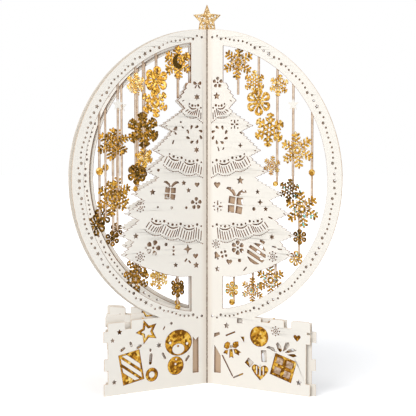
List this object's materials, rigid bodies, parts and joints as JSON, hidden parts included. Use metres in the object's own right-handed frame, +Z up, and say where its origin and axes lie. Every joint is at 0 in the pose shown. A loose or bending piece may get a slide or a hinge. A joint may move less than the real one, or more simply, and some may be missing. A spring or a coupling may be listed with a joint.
{
  "type": "pop up card",
  "caption": "Free-standing laser-cut pop up card: folded white sheets back to back with a round ring, a fir tree and a pile of gifts, hung with gold snowflakes under a gold star",
  "frame": {"origin": "centre of the card's bounding box at the surface it stands on", "axes": "+Z up along the spine fold; -Y is the front, towards which the front sheet opens; +X is to the right when looked at from the front"},
  "size_m": [0.1608, 0.0856, 0.2324],
  "materials": {
    "white_card": "matt white card with a fine tooth, laser-cut edges scorched light brown",
    "white_strip": "matt white paper, edges scorched light brown",
    "gold_mirror_card": "mirror gold foil card",
    "gold_foil": "satin gold foil",
    "gold_glitter": "gold glitter card"
  },
  "bodies": {
    "root": {"front_sheet": "white_card", "left_sheet": "white_card", "back_sheet": "white_card", "left_strips": "white_strip", "right_strips": "white_strip", "rear_strips": "white_strip", "left_snowflakes": "gold_mirror_card", "right_snowflakes": "gold_mirror_card", "rear_snowflakes": "gold_mirror_card", "white_stars": "white_strip", "front_gold_foils": "gold_foil", "left_gold_foils": "gold_foil", "back_gold_foils": "gold_foil", "top_star": "gold_glitter"}
  },
  "joints": []
}
